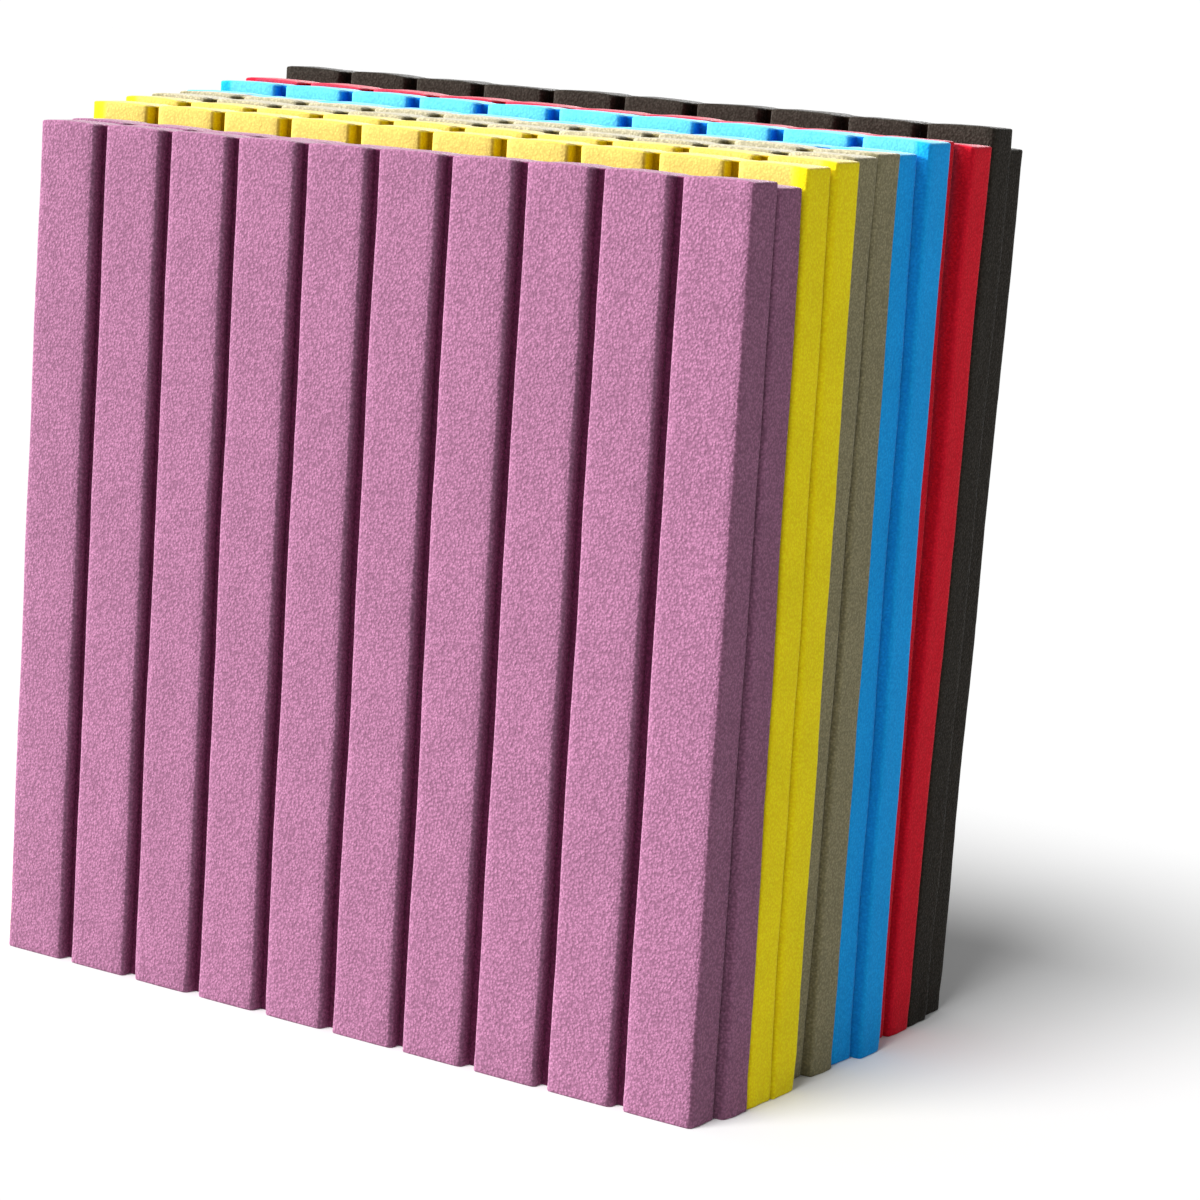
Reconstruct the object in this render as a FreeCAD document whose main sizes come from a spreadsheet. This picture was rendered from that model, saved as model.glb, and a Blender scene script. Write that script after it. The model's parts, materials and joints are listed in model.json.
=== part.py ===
"""Stack of twelve grooved foam tiles, two of each of six colours, standing on edge.

Units are millimetres. X runs along the tiles' width, Y from the front tile to the
rear one, Z up. The origin is the centre of the stack's bounding box at the floor.
Each tile is one cut piece of open-cell foam: a flat back and a ribbed front, whose
full-height grooves face -Y.
"""

import FreeCAD, Part
import math
import os

import Sketcher

# ---- driving dimensions ------------------------------------------------------

SIZES = {
    "tile_thickness": 25.4,
    "tile_gap": 0.6,
    "groove_width": 9.0,
    "groove_depth": 8.0,
    "groove_count": 9,
    "end_rib_width": 44.0,
    "rib_edge_radius": 1.5,
}

# Colour, width of that colour's tiles, then each tile's height and how far its
# centre stands to the right of the stack's. Foam is sawn with loose tolerances,
# so no two colours are quite the same size.
COLOURS = (
    ("purple", 495, ((511, 12.5), (510, 16.5))),
    ("yellow", 503, ((521, 12.5), (524, 16.5))),
    ("grey", 501, ((526, 9.5), (528, 10.5))),
    ("blue", 514, ((528, 2.0), (535, 7.0))),
    ("red", 504, ((536, 2.0), (533, 7.0))),
    ("black", 523, ((544, -2.5), (531, -6.5))),
)

TILE_COUNT = sum(len(tiles) for _, _, tiles in COLOURS)

doc = FreeCAD.newDocument("foam_tile_stack")


# ---- spreadsheet -------------------------------------------------------------


def fill_sheet():
    """Write every driving dimension into one sheet, a named cell to each."""
    sheet = doc.addObject("Spreadsheet::Sheet", "sizes")
    rows = list(SIZES.items())
    rows.append(("tile_count", TILE_COUNT))
    for colour, width, tiles in COLOURS:
        rows.append((f"{colour}_width", width))
        for number, (height, offset) in enumerate(tiles, start=1):
            rows.append((f"{colour}_{number}_height", height))
            rows.append((f"{colour}_{number}_offset", offset))
    rows.append(("tile_pitch", "=tile_thickness + tile_gap"))
    rows.append(("stack_depth", "=tile_count * tile_pitch - tile_gap"))
    for row, (name, value) in enumerate(rows, start=1):
        sheet.set(f"A{row}", name)
        sheet.set(f"B{row}", str(value))
        sheet.setAlias(f"B{row}", name)
    doc.recompute()
    return sheet


# ---- sketch helpers ----------------------------------------------------------


def origin_feature(body, role):
    """The body's own base plane or axis with this role."""
    return next(f for f in body.Origin.OriginFeatures if f.Role == role)


def floor_rectangle(body, name, left, width, depth):
    """A rectangle on the body's floor plane, its front edge on the X axis.

    left is the expression for the X of its left edge; width and depth are the
    expressions for its size.
    """
    sketch = body.newObject("Sketcher::SketchObject", name)
    sketch.AttachmentSupport = [(origin_feature(body, "XY_Plane"), "")]
    sketch.MapMode = "FlatFace"
    corners = [
        FreeCAD.Vector(10, 0, 0),
        FreeCAD.Vector(20, 0, 0),
        FreeCAD.Vector(20, 10, 0),
        FreeCAD.Vector(10, 10, 0),
    ]
    for index in range(4):
        line = Part.LineSegment(corners[index], corners[(index + 1) % 4])
        sketch.addGeometry(line, False)
    for index in range(4):
        joined = Sketcher.Constraint("Coincident", index, 2, (index + 1) % 4, 1)
        sketch.addConstraint(joined)
    for index in (0, 2):
        sketch.addConstraint(Sketcher.Constraint("Horizontal", index))
    for index in (1, 3):
        sketch.addConstraint(Sketcher.Constraint("Vertical", index))
    sketch.addConstraint(Sketcher.Constraint("PointOnObject", 0, 1, -1))
    sized = (
        ("left", Sketcher.Constraint("DistanceX", -1, 1, 0, 1, 10.0), left),
        ("width", Sketcher.Constraint("DistanceX", 0, 1, 0, 2, 10.0), width),
        ("depth", Sketcher.Constraint("DistanceY", 1, 1, 1, 2, 10.0), depth),
    )
    for label, constraint, expression in sized:
        index = sketch.addConstraint(constraint)
        sketch.renameConstraint(index, label)
        sketch.setExpression(f"Constraints.{label}", expression)
    doc.recompute()
    return sketch


# ---- one tile ----------------------------------------------------------------


def front_rib_edges(shape):
    """Names of the upright edges along the ribs' front faces."""
    names = []
    for index, edge in enumerate(shape.Edges, start=1):
        box = edge.BoundBox
        upright = box.ZLength > 1.0 and box.XLength < 1e-6 and box.YLength < 1e-6
        if upright and abs(box.YMin) < 1e-6:
            names.append(f"Edge{index}")
    return names


def foam_tile(colour, number, index):
    """One grooved tile, the index-th from the front."""
    node = f"{colour}_tile_{number}"
    width = f"sizes.{colour}_width"
    pitch = f"(({width} - sizes.end_rib_width) / sizes.groove_count)"

    body = doc.addObject("PartDesign::Body", node)
    body.Label = node

    outline = floor_rectangle(
        body, f"{node}_outline", f"-{width} / 2", width, "sizes.tile_thickness"
    )
    slab = body.newObject("PartDesign::Pad", f"{node}_slab")
    slab.Profile = outline
    slab.setExpression("Length", f"sizes.{colour}_{number}_height")
    doc.recompute()

    groove_sketch = floor_rectangle(
        body,
        f"{node}_groove_outline",
        f"-{width} / 2 + {pitch} - sizes.groove_width",
        "sizes.groove_width",
        "sizes.groove_depth",
    )
    groove = body.newObject("PartDesign::Pocket", f"{node}_groove")
    groove.Profile = groove_sketch
    groove.Type = "ThroughAll"
    groove.Reversed = True
    doc.recompute()

    grooves = body.newObject("PartDesign::LinearPattern", f"{node}_grooves")
    grooves.Originals = [groove]
    grooves.Direction = (origin_feature(body, "X_Axis"), [""])
    grooves.setExpression("Length", f"{pitch} * (sizes.groove_count - 1)")
    grooves.setExpression("Occurrences", "sizes.groove_count")
    body.Tip = grooves
    doc.recompute()
    check_volume(node, body.Shape, colour, number)

    rounding = body.newObject("PartDesign::Fillet", f"{node}_rib_edges")
    rounding.Base = (grooves, front_rib_edges(grooves.Shape))
    rounding.setExpression("Radius", "sizes.rib_edge_radius")
    body.Tip = rounding

    body.setExpression("Placement.Base.x", f"sizes.{colour}_{number}_offset")
    body.setExpression(
        "Placement.Base.y", f"-sizes.stack_depth / 2 + {index} * sizes.tile_pitch"
    )
    doc.recompute()
    return body


# ---- checks ------------------------------------------------------------------


def check_volume(node, shape, colour, number):
    """The sharp-edged tile must be the slab less all of its grooves."""
    width = sizes.get(f"{colour}_width")
    height = sizes.get(f"{colour}_{number}_height")
    slab = width * sizes.tile_thickness
    grooves = sizes.groove_count * sizes.groove_width * sizes.groove_depth
    expected = height * (slab - grooves)
    if not math.isclose(shape.Volume, expected, rel_tol=1e-6):
        raise RuntimeError(f"{node}: volume {shape.Volume:.0f}, expected {expected:.0f}")


def check_document():
    """Stop if any object in the document has an error."""
    for obj in doc.Objects:
        if "Invalid" in obj.State or "Error" in obj.State:
            raise RuntimeError(f"{obj.Name} has state {obj.State}")


def export(body):
    """Write one tile to parts/, named after its node."""
    shape = body.Shape
    if shape.isNull() or not shape.isValid() or len(shape.Solids) != 1:
        raise RuntimeError(f"{body.Label} is not one valid solid")
    shape.exportStep(os.path.join("parts", f"{body.Label}.step"))
    box = shape.BoundBox
    print(
        f"{body.Label:15s} x {box.XMin:7.1f} {box.XMax:7.1f}  "
        f"y {box.YMin:7.1f} {box.YMax:7.1f}  z {box.ZMin:5.1f} {box.ZMax:6.1f}  "
        f"volume {shape.Volume / 1000:.0f} cm3"
    )


# ---- build -------------------------------------------------------------------

sizes = fill_sheet()

tile_bodies = []
for colour, _, tiles in COLOURS:
    for number in range(1, len(tiles) + 1):
        tile_bodies.append(foam_tile(colour, number, len(tile_bodies)))

doc.recompute()
check_document()

os.makedirs("parts", exist_ok=True)
for tile_body in tile_bodies:
    export(tile_body)
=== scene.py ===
"""Foam tile stack: twelve grooved foam tiles standing on edge, on a pale studio floor.

Laid out as an add-on and run as a script. Lengths are in metres, in the frame of the
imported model: X along the tiles, Y from the front tile to the rear one, Z up.
"""

import json
import math

import bmesh
import bpy
import numpy as np
from bpy.props import FloatProperty, FloatVectorProperty, PointerProperty
from bpy.types import Operator, Panel, PropertyGroup
from mathutils import Euler, Matrix, Vector, noise

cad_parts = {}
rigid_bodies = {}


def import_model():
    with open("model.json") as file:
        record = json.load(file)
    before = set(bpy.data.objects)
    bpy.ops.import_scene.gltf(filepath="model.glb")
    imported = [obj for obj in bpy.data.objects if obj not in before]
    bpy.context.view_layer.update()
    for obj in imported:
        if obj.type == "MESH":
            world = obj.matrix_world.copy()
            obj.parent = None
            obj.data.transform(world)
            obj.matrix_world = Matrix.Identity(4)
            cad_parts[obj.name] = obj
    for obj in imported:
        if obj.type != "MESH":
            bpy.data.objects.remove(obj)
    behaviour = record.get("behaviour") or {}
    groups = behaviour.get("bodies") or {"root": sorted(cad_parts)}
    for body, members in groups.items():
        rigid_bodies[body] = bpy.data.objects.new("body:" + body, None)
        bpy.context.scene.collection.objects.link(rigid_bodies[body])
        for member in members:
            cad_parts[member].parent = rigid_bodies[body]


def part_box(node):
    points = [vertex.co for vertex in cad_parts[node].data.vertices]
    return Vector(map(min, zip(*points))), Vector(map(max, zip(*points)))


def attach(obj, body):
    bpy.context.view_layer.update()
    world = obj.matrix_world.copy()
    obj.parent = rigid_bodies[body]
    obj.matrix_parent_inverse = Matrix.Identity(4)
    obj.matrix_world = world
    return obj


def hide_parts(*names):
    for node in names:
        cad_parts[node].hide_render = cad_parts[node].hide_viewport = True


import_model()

bl_info = {
    "name": "Foam tile stack",
    "version": (1, 0, 0),
    "blender": (4, 5, 0),
    "location": "3D View > Sidebar > Foam Tiles",
    "description": "Models a stack of grooved foam tiles in six colours and its stage",
    "category": "Object",
}

MM = 0.001
COLOURS = ("purple", "yellow", "grey", "blue", "red", "black")

# The cut tile.
GROOVE_COUNT = 9
GROOVE_WIDTH = 9 * MM
GROOVE_DEPTH = 8 * MM
END_RIB_WIDTH = 44 * MM

# Mesh building.
MERGE_DISTANCE = 1e-6
SHARP_ANGLE = math.radians(60)
# An edge lies along an axis if it strays by less than this share of its length.
STRAY_LIMIT = 0.05

# Softening. Wavelengths are of smooth noise, and each dent has its share of the whole.
DENTS = ((30 * MM, 0.5), (10 * MM, 0.3), (5 * MM, 0.2))
DENT_MEAN = 0.4
DENT_SPREAD = 0.6
SETTLED_HEIGHT = 6 * MM
TOP_BAND_START = 0.97
CREST_HEIGHT = 0.7 * MM
CREST_WAVELENGTH = 45 * MM
CREST_STRETCH = (1.0, 0.4, 0.0)
CROWN_POWER = 8
SCALLOP_POWER = 6
SWELL_START = 0.75
SWELL_LIMIT = 0.95
WANDER_WAVELENGTH = 35 * MM
WANDER_STRETCH = (1.0, 0.0, 0.35)
RAGGED_HEIGHT = 25 * MM
RAGGED_DEPTH = 1.4 * MM
RAGGED_WAVELENGTH = 12 * MM
RAGGED_STRETCH = (1.0, 1.0, 0.6)
PROUD_START = 0.9
# Each seed samples the noise this much further on, so no two patterns are alike.
SEED_STEP = (7.31, 3.17, 5.73)

# Masks for the material: painted shade in the grooves and a painted highlight on the
# fronts and tops.
RIB_SIDE = 0.999
OUTER_STRIP = 5 * MM
ROOT_MARGIN = 1 * MM
# Painted highlight: it fades out between these shares of the half width, so it stays
# off the strips at the tiles' sides.
PAINTED_HIGHLIGHT_EDGE = (0.97, 0.96)

# Foam grain.
CELL_SIZE = 1.6 * MM
GRAIN_BUMP = 0.6 * MM
TUFT_SHARE = 0.55
SPECKLE_RANGE = (0.40, 0.82)
PORE_DARKENING = 0.26
TIP_LIGHTENING = 0.50
TIP_LIFT = 0.008
LIGHTEST = 0.95
MOTTLE_SCALE = 28.0
MOTTLE_RANGE = (0.3, 0.7)
MOTTLE_SHADE = 0.92
# Painted shade: the foam in the grooves is darkened to this share and made more
# saturated, standing in for the shade between the ribs.
GROOVE_SHADE = 0.62
GROOVE_SATURATION = 0.8
# Light glows through the bright foams and hides some of their grain.
GRAIN_CONTRAST = {
    "purple": 1.0,
    "yellow": 0.45,
    "grey": 0.85,
    "blue": 0.5,
    "red": 0.55,
    "black": 1.0,
}

# Stage.
WHITE = (1, 1, 1, 1)
FLOOR_SIZE = 60
FLOOR_GREY = 0.86
SEEN_WHITE = 1.05
# The direction each light's rays travel in, and its angular size.
LIGHTS = {
    "side_light": ((0.85, 0.41, -0.33), math.radians(22)),
    "top_light": ((0.5, 0.3, -1.0), math.radians(22)),
    "floor_light": ((0.11, 0.6, -1.0), math.radians(30)),
}
LAMP_DISTANCE = 2
SENSOR_WIDTH_MM = 36
VIEW_DISTANCE = 200
CAMERA_PLACE = Vector((1.172, -1.7067, 0.595))


# ---- settings ----------------------------------------------------------------


def colour_setting(name, default):
    """A foam colour."""
    return FloatVectorProperty(
        name=name,
        description=f"{name} foam where light falls straight on it",
        subtype="COLOR",
        min=0.0,
        max=1.0,
        default=default,
    )


def stance_setting(name, lean, shift, rise=0.0):
    """How a tile stands: its lean, its sideways shift and the slope of its top."""
    return FloatVectorProperty(
        name=name,
        description="Lean of the top to the right, sideways shift, and rise of the "
        "top from left to right",
        subtype="TRANSLATION",
        unit="LENGTH",
        size=3,
        default=(lean * MM, shift * MM, rise * MM),
    )


def length_setting(name, description, default):
    """A length."""
    return FloatProperty(
        name=name,
        description=description,
        subtype="DISTANCE",
        unit="LENGTH",
        default=default,
    )


class FoamColours(PropertyGroup):
    purple: colour_setting("Purple", (0.275, 0.116, 0.200))
    yellow: colour_setting("Yellow", (0.920, 0.715, 0.010))
    grey: colour_setting("Grey", (0.250, 0.225, 0.130))
    blue: colour_setting("Blue", (0.010, 0.340, 0.860))
    red: colour_setting("Red", (0.660, 0.010, 0.026))
    black: colour_setting("Black", (0.028, 0.024, 0.019))


class PaintedHighlightColours(PropertyGroup):
    """Painted highlight: lighter colours for the fronts and tops of the foams, standing
    in for the strong light that falls on those faces.
    """

    yellow: colour_setting("Painted highlight yellow", (0.600, 0.460, 0.110))
    grey: colour_setting("Painted highlight grey", (0.400, 0.365, 0.250))
    blue: colour_setting("Painted highlight blue", (0.110, 0.470, 0.720))
    red: colour_setting("Painted highlight red", (0.440, 0.040, 0.070))


class TileStances(PropertyGroup):
    purple_1: stance_setting("Purple 1", -2, 0.5, 4.5)
    purple_2: stance_setting("Purple 2", -8, -0.5)
    yellow_1: stance_setting("Yellow 1", -5, 0)
    yellow_2: stance_setting("Yellow 2", -3, -2)
    grey_1: stance_setting("Grey 1", 3, -0.5)
    grey_2: stance_setting("Grey 2", -1, 1)
    blue_1: stance_setting("Blue 1", -2, 0)
    blue_2: stance_setting("Blue 2", -1, 1)
    red_1: stance_setting("Red 1", 0, 0, -2.5)
    red_2: stance_setting("Red 2", 8, 1.5)
    black_1: stance_setting("Black 1", 9, 1, -2)
    black_2: stance_setting("Black 2", 8, 0)


class FoamShape(PropertyGroup):
    rib_radius: length_setting(
        "Rib radius", "Rounding of the ribs' upright edges", 2.2 * MM
    )
    edge_radius: length_setting(
        "Edge radius", "Rounding of the tiles' top and bottom edges", 1.5 * MM
    )
    root_radius: length_setting(
        "Root radius", "Rounding at the bottom of the grooves", 1.2 * MM
    )
    cell: length_setting(
        "Mesh cell", "Spacing of the mesh over the flat faces", 3.4 * MM
    )
    wander: length_setting(
        "Saw wander", "How far the saw wandered sideways along a groove", 1.0 * MM
    )
    hollow: length_setting(
        "Hollows", "Depth of the soft hollows in the cut faces", 0.6 * MM
    )
    flare: length_setting(
        "Flare", "How far a tile's sides spread between its top and its foot", 2 * MM
    )
    crown: length_setting(
        "Rib crown", "How far the sides of a rib's front face sag back", 0.6 * MM
    )
    swell: length_setting(
        "Rib swell", "How far a rib's right side swells into its groove", 1.4 * MM
    )
    scallop: length_setting(
        "Scallop", "How far a rib's top drops towards the grooves", 1.2 * MM
    )
    proud: length_setting(
        "Proud", "How far the foam swells past its cut size at the sides", 1.0 * MM
    )


class StageSettings(PropertyGroup):
    azimuth: FloatProperty(
        name="Camera azimuth",
        description="Camera's turn round the stack, from the front towards +X",
        subtype="ANGLE",
        unit="ROTATION",
        default=math.radians(32.55),
    )
    elevation: FloatProperty(
        name="Camera elevation",
        description="How far the camera looks down",
        subtype="ANGLE",
        unit="ROTATION",
        default=math.radians(9.70),
    )
    roll: FloatProperty(
        name="Camera roll",
        description="How far the camera is tipped about its line of sight",
        subtype="ANGLE",
        unit="ROTATION",
        default=math.radians(3.93),
    )
    lens: FloatProperty(
        name="Focal length",
        description="Focal length for a 36 mm wide sensor, in millimetres",
        min=1.0,
        default=103.4,
    )
    sky: FloatProperty(
        name="Room light",
        description="Brightness of the white room",
        min=0.0,
        default=0.30,
    )
    side_light: FloatProperty(
        name="Side light",
        description="Strength of the strong light on the left of the tiles",
        min=0.0,
        default=10.5,
    )
    top_light: FloatProperty(
        name="Top light",
        description="Strength of the light above the tiles",
        min=0.0,
        default=3.0,
    )
    floor_light: FloatProperty(
        name="Floor light",
        description="Strength of the light that whitens the floor",
        min=0.0,
        default=3.35,
    )


# ---- mesh helpers ------------------------------------------------------------


def deselect_everything():
    """Leave nothing selected and no object active."""
    if bpy.context.object and bpy.context.object.mode != "OBJECT":
        bpy.ops.object.mode_set(mode="OBJECT")
    bpy.ops.object.select_all(action="DESELECT")
    bpy.context.view_layer.objects.active = None


def select_in_edit_mode(obj, kind, test):
    """Select the mesh elements of one kind ("verts", "edges", "faces") that pass."""
    mesh = bmesh.from_edit_mesh(obj.data)
    modes = {"verts": "VERT", "edges": "EDGE", "faces": "FACE"}
    bpy.ops.mesh.select_mode(type=modes[kind])
    bpy.ops.mesh.select_all(action="DESELECT")
    for element in getattr(mesh, kind):
        if test(element):
            element.select_set(True)
    mesh.select_flush_mode()
    bmesh.update_edit_mesh(obj.data)


def cut(point, normal):
    """Cut the whole mesh along a plane."""
    bpy.ops.mesh.select_all(action="SELECT")
    bpy.ops.mesh.bisect(plane_co=point, plane_no=normal)


def edge_along(axis, shortest):
    """A test for edges that lie along an axis and are longer than this."""

    def test(edge):
        run = edge.verts[1].co - edge.verts[0].co
        other = [abs(run[i]) for i in range(3) if i != axis]
        length = abs(run[axis])
        return length > shortest and max(other) < STRAY_LIMIT * length

    return test


def subdivide_along(obj, axis, shortest, cell, longest):
    """Cut the long edges along one axis into pieces about one cell long."""
    select_in_edit_mode(obj, "edges", edge_along(axis, shortest))
    cuts = max(1, round(longest / cell) - 1)
    bpy.ops.mesh.subdivide(number_cuts=cuts, quadcorner="INNERVERT")


# ---- one foam tile -----------------------------------------------------------


def groove_spans(low, high):
    """Left and right X of each groove, from the tile's left and right edges."""
    pitch = (high - low - END_RIB_WIDTH) / GROOVE_COUNT
    rights = [low + pitch * (n + 1) for n in range(GROOVE_COUNT)]
    return [(right - GROOVE_WIDTH, right) for right in rights]


def sawn_profile(obj, low, high):
    """Cut the grooves out of the flat outline, seen from above."""
    spans = groove_spans(low.x, high.x)
    root = low.y + GROOVE_DEPTH
    for left, right in spans:
        cut((left, 0, 0), (1, 0, 0))
        cut((right, 0, 0), (1, 0, 0))
    cut((0, root, 0), (0, 1, 0))

    def in_groove(face):
        middle = face.calc_center_median()
        return middle.y < root and any(a < middle.x < b for a, b in spans)

    select_in_edit_mode(obj, "faces", in_groove)
    bpy.ops.mesh.delete(type="FACE")


def round_edges(obj, shape):
    """Round the outer edges, then the roots of the grooves."""

    def corner(convex):
        def test(edge):
            sharp = edge.calc_face_angle(0.0) >= SHARP_ANGLE
            return len(edge.link_faces) == 2 and sharp and edge.is_convex == convex

        return test

    select_in_edit_mode(obj, "edges", corner(convex=False))
    bpy.ops.mesh.bevel(offset=shape.root_radius, segments=2, clamp_overlap=True)
    outer, upright = corner(convex=True), edge_along(2, GROOVE_WIDTH)
    select_in_edit_mode(obj, "edges", lambda edge: outer(edge) and upright(edge))
    bpy.ops.mesh.bevel(offset=shape.rib_radius, segments=4, clamp_overlap=True)
    select_in_edit_mode(obj, "edges", outer)
    bpy.ops.mesh.bevel(offset=shape.edge_radius, segments=3, clamp_overlap=True)


def foam_blank(name, low, high, shape):
    """A grooved tile with rounded edges and an even mesh, before it is softened."""
    deselect_everything()
    size = high - low
    middle = (low + high) / 2
    bpy.ops.mesh.primitive_plane_add(size=1, location=(middle.x, middle.y, low.z))
    tile = bpy.context.object
    tile.name = name
    tile.scale = (size.x, size.y, 1)
    bpy.ops.object.transform_apply(location=True, rotation=True, scale=True)
    bpy.ops.object.mode_set(mode="EDIT")
    sawn_profile(tile, low, high)
    bpy.ops.mesh.select_all(action="SELECT")
    bpy.ops.mesh.extrude_region_move(TRANSFORM_OT_translate={"value": (0, 0, size.z)})
    bpy.ops.mesh.select_all(action="SELECT")
    bpy.ops.mesh.remove_doubles(threshold=MERGE_DISTANCE)
    bpy.ops.mesh.normals_make_consistent(inside=False)
    round_edges(tile, shape)
    rib = (size.x - END_RIB_WIDTH) / GROOVE_COUNT - GROOVE_WIDTH
    subdivide_along(tile, 0, rib * 0.5, shape.cell, rib)
    subdivide_along(tile, 1, GROOVE_DEPTH, shape.cell, size.y - GROOVE_DEPTH)
    subdivide_along(tile, 2, size.z * 0.5, shape.cell, size.z)
    bpy.ops.object.mode_set(mode="OBJECT")
    return tile


def vertex_vectors(obj, name):
    """One vector of each vertex ("co" or "normal"), as an array with a row for each."""
    vectors = np.empty(len(obj.data.vertices) * 3)
    obj.data.vertices.foreach_get(name, vectors)
    return vectors.reshape(-1, 3)


def smooth_noise(places, wavelength, seed):
    """Smooth noise from -1 to 1 at each place."""
    shift = Vector([seed * step for step in SEED_STEP])
    return np.array([noise.noise(Vector(p) / wavelength + shift) for p in places])


def ramp(values, start, end):
    """0 up to the start, 1 from the end on, and a straight slope between them."""
    return np.clip((values - start) / (end - start), 0, 1)


def store_mask(tile, name, values):
    """Keep a value from 0 to 1 at each vertex, for the material."""
    attribute = tile.data.attributes.new(name, "FLOAT", "POINT")
    attribute.data.foreach_set("value", values.astype(np.float32))


def rib_positions(across, low, high):
    """Where each X lies on its rib, from -1 at its left side to 1 at its right side."""
    spans = groove_spans(low, high)
    lefts = np.array([low] + [right for _, right in spans])
    rights = np.array([left for left, _ in spans] + [high])
    rib = np.clip(np.searchsorted(lefts, across, side="right") - 1, 0, len(lefts) - 1)
    middle = (lefts[rib] + rights[rib]) / 2
    return np.clip((across - middle) / ((rights[rib] - lefts[rib]) / 2), -1, 1)


class CutTile:
    """Where each vertex lay on the tile as it was cut."""

    def __init__(self, tile, low, high):
        self.places = vertex_vectors(tile, "co")
        self.normals = vertex_vectors(tile, "normal")
        self.width = high.x - low.x
        self.height_up = self.places[:, 2] - low.z
        # From 0 at the floor to 1 at the top.
        self.up = self.height_up / (high.z - low.z)
        # From -1 at the left side to 1 at the right side.
        self.across = (self.places[:, 0] - (low.x + high.x) / 2) / (self.width / 2)
        self.on_rib = rib_positions(self.places[:, 0], low.x, high.x)
        self.behind = self.places[:, 1] - low.y
        # From 0 at the front face to 1 at the back.
        self.depth_in = self.behind / (high.y - low.y)
        # From 1 at the front face to 0 at the bottom of the grooves.
        self.front = ramp(self.behind, GROOVE_DEPTH, 0)


def store_masks(tile, cut):
    """Mark how far into a groove each vertex lies, for the painted shade there, and how
    far it faces front or up, for the painted highlight.
    """
    in_groove = np.abs(cut.on_rib) > RIB_SIDE
    in_groove &= np.abs(cut.across) < 1 - 2 * OUTER_STRIP / cut.width
    in_groove &= cut.behind < GROOVE_DEPTH + ROOT_MARGIN
    # Painted shade: 0 at the rib fronts, rising to 1 at the bottom of a groove.
    store_mask(tile, "groove_depth", np.where(in_groove, 1 - cut.front, 0.0))
    # Painted highlight: strongest on faces turned to the front or up, away from the
    # side edges.
    inboard = ramp(np.abs(cut.across), *PAINTED_HIGHLIGHT_EDGE)
    facing = np.maximum(-cut.normals[:, 1] * inboard, cut.normals[:, 2])
    store_mask(tile, "sawn_face", np.clip(facing, 0, 1) ** 2)


def dented(cut, shape, seed):
    """The cut places with soft hollows, which the foot on the floor doesn't have."""
    dents = sum(
        share * smooth_noise(cut.places, wavelength, seed + index)
        for index, (wavelength, share) in enumerate(DENTS)
    )
    depth = shape.hollow * (DENT_MEAN + DENT_SPREAD * dents)
    inward = cut.normals * depth[:, None]
    inward[:, 2] *= ramp(cut.height_up, 0, SETTLED_HEIGHT)
    return cut.places - inward


def shape_ribs(moved, cut, shape, seed):
    """Crown and swell the ribs, and let their tops drop at the grooves."""
    moved[:, 1] += cut.front * shape.crown * np.abs(cut.on_rib) ** CROWN_POWER
    near_top = ramp(cut.up, TOP_BAND_START, 1)
    drop = shape.scallop * np.abs(cut.on_rib) ** SCALLOP_POWER
    moved[:, 2] -= near_top * drop * (1 - cut.depth_in / 2)
    crest = smooth_noise(cut.places * CREST_STRETCH, CREST_WAVELENGTH, seed + 3)
    moved[:, 2] += near_top * crest * CREST_HEIGHT
    swells = (cut.front > 0) & (cut.across < SWELL_LIMIT)
    moved[:, 0] += shape.swell * ramp(cut.on_rib, SWELL_START, 1) * swells


def roughen(moved, cut, shape, seed):
    """Let the saw wander sideways, and leave the foot ragged."""
    wander = smooth_noise(cut.places * WANDER_STRETCH, WANDER_WAVELENGTH, seed + 4)
    moved[:, 0] += shape.wander * wander
    ragged = smooth_noise(cut.places * RAGGED_STRETCH, RAGGED_WAVELENGTH, seed + 5)
    moved[:, 0] += ramp(cut.height_up, RAGGED_HEIGHT, 0) * RAGGED_DEPTH * ragged


def stand(moved, cut, shape, stance):
    """Flare the sides, then lean and shift the tile and slope its top."""
    outer = ramp(np.abs(cut.across), PROUD_START, 1) * np.sign(cut.across)
    moved[:, 0] += outer * shape.proud
    moved[:, 0] += cut.across * shape.flare * (0.5 - cut.up)
    lean, shift, rise = stance
    moved[:, 0] += shift + lean * (cut.up - 0.5)
    moved[:, 2] += rise / 2 * cut.across * ramp(cut.up, 0.5, 1)


def soften(tile, low, high, stance, seed, shape):
    """Move the vertices from where they were cut to where soft foam holds them."""
    cut = CutTile(tile, low, high)
    store_masks(tile, cut)
    moved = dented(cut, shape, seed)
    shape_ribs(moved, cut, shape, seed)
    roughen(moved, cut, shape, seed)
    stand(moved, cut, shape, stance)
    tile.data.vertices.foreach_set("co", moved.ravel())
    tile.data.update()


def foam_tile(context, colour, number):
    """Model one tile, give it its foam and hang it on its body."""
    scene = context.scene
    node = f"{colour}_tile_{number}"
    low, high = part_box(node)
    stance = getattr(scene.tile_stances, f"{colour}_{number}")
    seed = 10 * COLOURS.index(colour) + number
    tile = foam_blank(f"{colour}_foam_{number}", low, high, scene.foam_shape)
    soften(tile, low, high, stance, seed, scene.foam_shape)
    tile.data.materials.clear()
    tile.data.materials.append(foam_material(context, colour))
    deselect_everything()
    tile.select_set(True)
    context.view_layer.objects.active = tile
    bpy.ops.object.shade_smooth()
    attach(tile, node)
    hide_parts(node)
    return tile


# ---- foam material -----------------------------------------------------------


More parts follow.
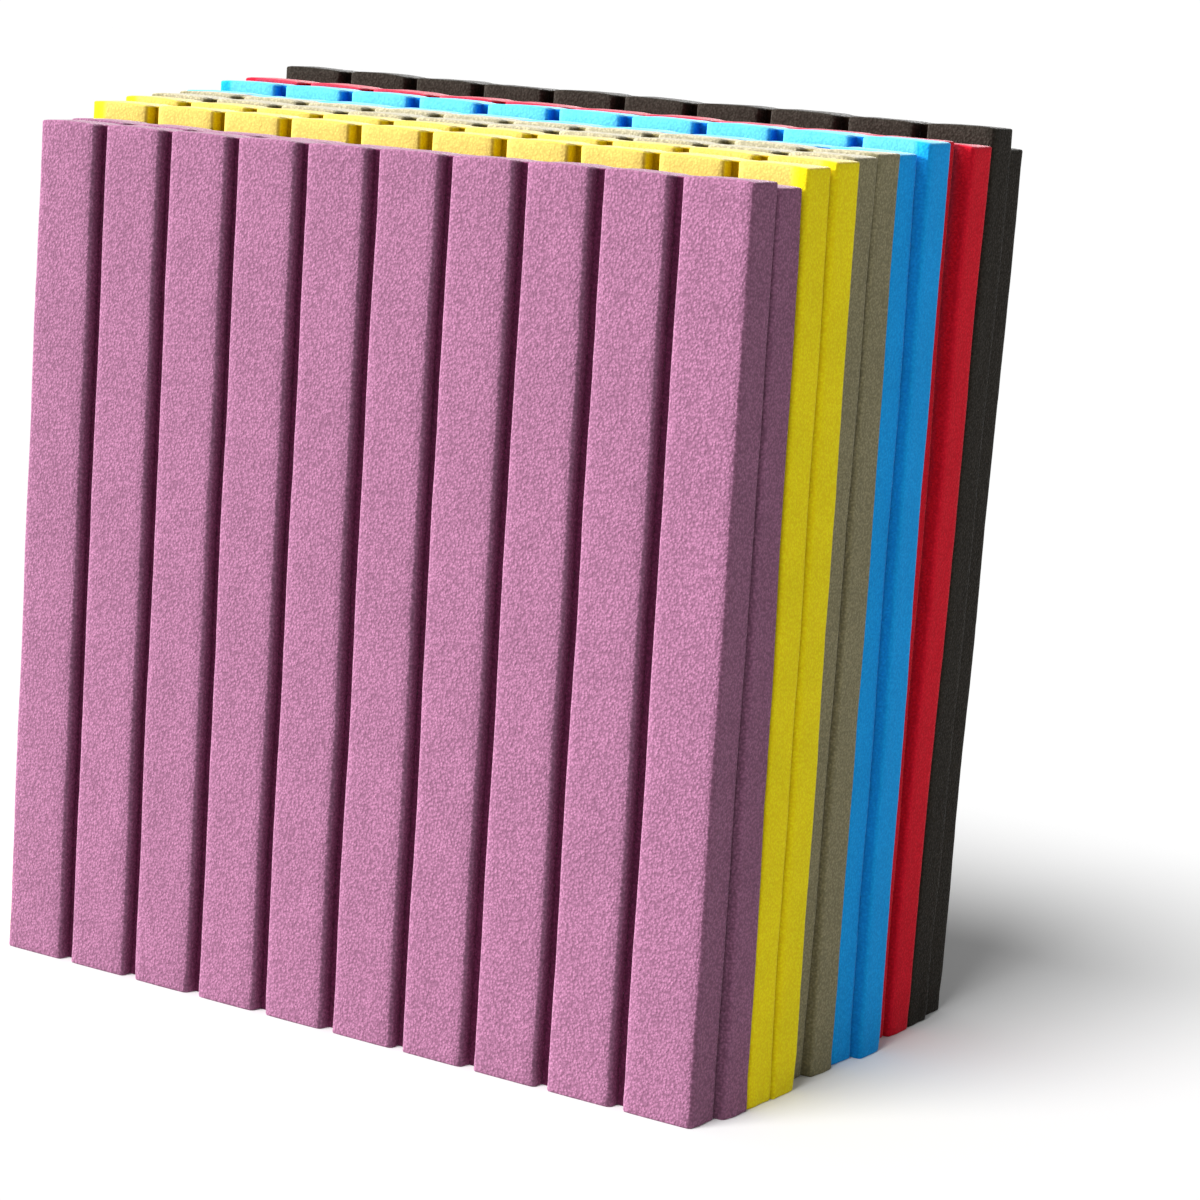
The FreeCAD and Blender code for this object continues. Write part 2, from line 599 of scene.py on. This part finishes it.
def foam_grain_group():
    """Open-cell grain of a sawn foam face.

    Grain is high on the tips of the foam and low in its pores, and Mottle is a slow
    change of shade over the face.
    """
    group = bpy.data.node_groups.get("foam_grain")
    if group:
        return group
    group = bpy.data.node_groups.new("foam_grain", "ShaderNodeTree")
    group.interface.new_socket(
        name="Cell size", in_out="INPUT", socket_type="NodeSocketFloat"
    )
    for name in ("Grain", "Mottle"):
        group.interface.new_socket(
            name=name, in_out="OUTPUT", socket_type="NodeSocketFloat"
        )
    nodes, links = group.nodes, group.links
    entry = nodes.new("NodeGroupInput")
    leave = nodes.new("NodeGroupOutput")
    place = nodes.new("ShaderNodeTexCoord")
    frequency = nodes.new("ShaderNodeMath")
    frequency.operation = "DIVIDE"
    frequency.inputs[0].default_value = 1.0
    links.new(entry.outputs["Cell size"], frequency.inputs[1])

    cells = nodes.new("ShaderNodeTexVoronoi")
    links.new(place.outputs["Object"], cells.inputs["Vector"])
    links.new(frequency.outputs[0], cells.inputs["Scale"])
    tufts = nodes.new("ShaderNodeTexNoise")
    tufts.inputs["Detail"].default_value = 1.5
    tufts.inputs["Roughness"].default_value = 0.7
    links.new(place.outputs["Object"], tufts.inputs["Vector"])
    links.new(frequency.outputs[0], tufts.inputs["Scale"])

    tips = nodes.new("ShaderNodeMath")
    tips.operation = "SUBTRACT"
    tips.inputs[0].default_value = 1.0
    links.new(cells.outputs["Distance"], tips.inputs[1])
    proud = nodes.new("ShaderNodeMix")
    proud.data_type = "FLOAT"
    proud.inputs["Factor"].default_value = TUFT_SHARE
    links.new(tips.outputs[0], proud.inputs["A"])
    links.new(tufts.outputs["Fac"], proud.inputs["B"])
    links.new(proud.outputs["Result"], leave.inputs["Grain"])

    patches = nodes.new("ShaderNodeTexNoise")
    patches.inputs["Scale"].default_value = MOTTLE_SCALE
    patches.inputs["Detail"].default_value = 3.0
    links.new(place.outputs["Object"], patches.inputs["Vector"])
    links.new(patches.outputs["Fac"], leave.inputs["Mottle"])
    return group


def mixed_colour(material, factor, first, second, blend="MIX"):
    """Two colours blended by a factor; each of the three may come from a socket."""
    mix = material.node_tree.nodes.new("ShaderNodeMix")
    mix.data_type = "RGBA"
    mix.blend_type = blend
    # A colour mix has its factor at 0 and its two colours at 6 and 7.
    for index, value in ((0, factor), (6, first), (7, second)):
        if isinstance(value, bpy.types.NodeSocket):
            material.node_tree.links.new(value, mix.inputs[index])
        else:
            mix.inputs[index].default_value = value
    return mix.outputs[2]


def multiplied_colour(material, first, second):
    """Two colours multiplied."""
    return mixed_colour(material, 1.0, first, second, blend="MULTIPLY")


def stretched_value(material, value, low, high):
    """A value's range from low to high, stretched to 0 to 1."""
    node = material.node_tree.nodes.new("ShaderNodeMapRange")
    node.inputs["From Min"].default_value = low
    node.inputs["From Max"].default_value = high
    material.node_tree.links.new(value, node.inputs["Value"])
    return node.outputs["Result"]


def foam_material(context, colour):
    """Matt open-cell foam of one colour, with painted shade in its grooves and, for
    some colours, a painted highlight on its fronts and tops.
    """
    name = f"{colour}_open_cell_foam"
    material = bpy.data.materials.get(name)
    if material:
        return material
    tint = Vector(getattr(context.scene.foam_colours, colour))
    material = bpy.data.materials.new(name)
    material.use_nodes = True
    nodes, links = material.node_tree.nodes, material.node_tree.links
    shader = nodes["Principled BSDF"]
    grain = nodes.new("ShaderNodeGroup")
    grain.node_tree = foam_grain_group()
    grain.inputs["Cell size"].default_value = CELL_SIZE
    contrast = GRAIN_CONTRAST[colour]

    def shade(tint, amount, lift=0.0):
        return (*[min(LIGHTEST, c * amount + lift) for c in tint], 1)

    speckle = stretched_value(material, grain.outputs["Grain"], *SPECKLE_RANGE)

    def speckled(tint):
        pore = shade(tint, 1 - PORE_DARKENING * contrast)
        tip = shade(tint, 1 + TIP_LIGHTENING * contrast, TIP_LIFT * contrast)
        return mixed_colour(material, speckle, pore, tip)

    def mask(name):
        attribute = nodes.new("ShaderNodeAttribute")
        attribute.attribute_name = name
        return attribute.outputs["Fac"]

    fine = speckled(tint)
    # Painted highlight: fronts and tops take the lighter colour.
    if hasattr(context.scene.sawn_colours, colour):
        pale = speckled(getattr(context.scene.sawn_colours, colour))
        fine = mixed_colour(material, mask("sawn_face"), fine, pale)
    mottle = stretched_value(material, grain.outputs["Mottle"], *MOTTLE_RANGE)
    patches = mixed_colour(material, mottle, (*[MOTTLE_SHADE] * 3, 1), WHITE)
    # Painted shade: darker, more saturated colour towards the bottom of the grooves.
    painted_groove_colour = (*[GROOVE_SHADE * (c / max(tint)) ** GROOVE_SATURATION for c in tint], 1)
    shaded = mixed_colour(material, mask("groove_depth"), WHITE, painted_groove_colour)
    mottled = multiplied_colour(material, fine, patches)
    links.new(multiplied_colour(material, mottled, shaded), shader.inputs["Base Color"])

    bump = nodes.new("ShaderNodeBump")
    bump.inputs["Strength"].default_value = 1.0
    bump.inputs["Distance"].default_value = GRAIN_BUMP * contrast
    links.new(grain.outputs["Grain"], bump.inputs["Height"])
    links.new(bump.outputs["Normal"], shader.inputs["Normal"])
    shader.inputs["Roughness"].default_value = 1.0
    shader.inputs["Specular IOR Level"].default_value = 0.03
    shader.inputs["Sheen Weight"].default_value = 0.22
    shader.inputs["Sheen Roughness"].default_value = 0.3
    return material


# ---- stage -------------------------------------------------------------------


def floor_material():
    """Plain pale studio paper."""
    material = bpy.data.materials.new("studio_floor")
    material.use_nodes = True
    shader = material.node_tree.nodes["Principled BSDF"]
    shader.inputs["Base Color"].default_value = (*[FLOOR_GREY] * 3, 1)
    shader.inputs["Roughness"].default_value = 0.9
    shader.inputs["Specular IOR Level"].default_value = 0.1
    return material


def studio_floor():
    """A wide pale floor for the stack to stand on."""
    deselect_everything()
    bpy.ops.mesh.primitive_plane_add(size=FLOOR_SIZE, location=(0, 0, 0))
    floor = bpy.context.object
    floor.name = "studio_floor"
    floor.data.materials.append(floor_material())


def room_light(scene):
    """An even white room, which the camera sees as plain white."""
    world = bpy.data.worlds.new("studio_room")
    world.use_nodes = True
    nodes, links = world.node_tree.nodes, world.node_tree.links
    background = nodes["Background"]
    background.inputs["Color"].default_value = WHITE
    seen = nodes.new("ShaderNodeLightPath")
    strength = nodes.new("ShaderNodeMapRange")
    strength.inputs["To Min"].default_value = scene.stage_settings.sky
    strength.inputs["To Max"].default_value = SEEN_WHITE
    links.new(seen.outputs["Is Camera Ray"], strength.inputs["Value"])
    links.new(strength.outputs["Result"], background.inputs["Strength"])
    scene.world = world


def distant_light(name, travel, strength, spread, lit):
    """A far, soft light whose rays travel in one direction and light some objects."""
    light = bpy.data.lights.new(name, "SUN")
    light.energy = strength
    light.angle = spread
    lamp = bpy.data.objects.new(name, light)
    lamp.location = -LAMP_DISTANCE * Vector(travel).normalized()
    lamp.rotation_euler = Vector(travel).to_track_quat("-Z", "Y").to_euler()
    bpy.context.scene.collection.objects.link(lamp)
    receivers = bpy.data.collections.new(f"{name}_receivers")
    for obj in lit:
        receivers.objects.link(obj)
    lamp.light_linking.receiver_collection = receivers


def studio_camera(scene):
    """The camera, in front of the stack and to its right."""
    stage = scene.stage_settings
    data = bpy.data.cameras.new("studio_camera")
    data.sensor_width = SENSOR_WIDTH_MM
    data.lens = stage.lens
    data.clip_end = VIEW_DISTANCE
    camera = bpy.data.objects.new("studio_camera", data)
    facing = Euler((math.pi / 2 - stage.elevation, 0, stage.azimuth)).to_matrix()
    facing = facing @ Matrix.Rotation(stage.roll, 3, "Z")
    camera.matrix_world = Matrix.LocRotScale(CAMERA_PLACE, facing, None)
    scene.collection.objects.link(camera)
    scene.camera = camera


# ---- operators ---------------------------------------------------------------


def foam_pair(context, colour):
    """Both tiles of one colour."""
    for number in (1, 2):
        foam_tile(context, colour, number)
    return {"FINISHED"}


class FOAM_OT_purple(Operator):
    """Model the two purple tiles at the front"""

    bl_idname = "foam.purple"
    bl_label = "Purple tiles"

    def execute(self, context):
        return foam_pair(context, "purple")


class FOAM_OT_yellow(Operator):
    """Model the two yellow tiles"""

    bl_idname = "foam.yellow"
    bl_label = "Yellow tiles"

    def execute(self, context):
        return foam_pair(context, "yellow")


class FOAM_OT_grey(Operator):
    """Model the two grey tiles"""

    bl_idname = "foam.grey"
    bl_label = "Grey tiles"

    def execute(self, context):
        return foam_pair(context, "grey")


class FOAM_OT_blue(Operator):
    """Model the two blue tiles"""

    bl_idname = "foam.blue"
    bl_label = "Blue tiles"

    def execute(self, context):
        return foam_pair(context, "blue")


class FOAM_OT_red(Operator):
    """Model the two red tiles"""

    bl_idname = "foam.red"
    bl_label = "Red tiles"

    def execute(self, context):
        return foam_pair(context, "red")


class FOAM_OT_black(Operator):
    """Model the two black tiles at the back"""

    bl_idname = "foam.black"
    bl_label = "Black tiles"

    def execute(self, context):
        return foam_pair(context, "black")


class FOAM_OT_stage(Operator):
    """Set up the floor, the lights and the camera"""

    bl_idname = "foam.stage"
    bl_label = "Stage"

    def execute(self, context):
        scene = context.scene
        studio_floor()
        room_light(scene)
        stage = scene.stage_settings
        tiles = [o for o in scene.objects if o.name.split("_")[0] in COLOURS]
        floor = [scene.objects["studio_floor"]]
        for name, (travel, spread) in LIGHTS.items():
            lit = floor if name == "floor_light" else tiles
            distant_light(name, travel, getattr(stage, name), spread, lit)
        studio_camera(scene)
        scene.view_settings.view_transform = "Standard"
        return {"FINISHED"}


class FOAM_PT_stack(Panel):
    """Foam tile stack"""

    bl_idname = "FOAM_PT_stack"
    bl_label = "Foam tile stack"
    bl_space_type = "VIEW_3D"
    bl_region_type = "UI"
    bl_category = "Foam Tiles"

    def draw(self, context):
        scene = context.scene
        groups = (
            scene.foam_colours,
            scene.sawn_colours,
            scene.foam_shape,
            scene.tile_stances,
            scene.stage_settings,
        )
        for settings in groups:
            box = self.layout.box()
            for setting in settings.__annotations__:
                box.prop(settings, setting)
        for colour in COLOURS:
            self.layout.operator(f"foam.{colour}")
        self.layout.operator("foam.stage")


# ---- registration ------------------------------------------------------------

CLASSES = (
    FoamColours,
    PaintedHighlightColours,
    TileStances,
    FoamShape,
    StageSettings,
    FOAM_OT_purple,
    FOAM_OT_yellow,
    FOAM_OT_grey,
    FOAM_OT_blue,
    FOAM_OT_red,
    FOAM_OT_black,
    FOAM_OT_stage,
    FOAM_PT_stack,
)

SETTINGS = {
    "foam_colours": FoamColours,
    "sawn_colours": PaintedHighlightColours,
    "tile_stances": TileStances,
    "foam_shape": FoamShape,
    "stage_settings": StageSettings,
}


def register():
    for cls in CLASSES:
        bpy.utils.register_class(cls)
    for name, cls in SETTINGS.items():
        setattr(bpy.types.Scene, name, PointerProperty(type=cls))


def unregister():
    for name in SETTINGS:
        delattr(bpy.types.Scene, name)
    for cls in reversed(CLASSES):
        bpy.utils.unregister_class(cls)


def main():
    """Build the whole scene."""
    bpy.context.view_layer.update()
    register()
    bpy.ops.foam.purple()
    bpy.ops.foam.yellow()
    bpy.ops.foam.grey()
    bpy.ops.foam.blue()
    bpy.ops.foam.red()
    bpy.ops.foam.black()
    bpy.ops.foam.stage()


if __name__ == "__main__":
    main()
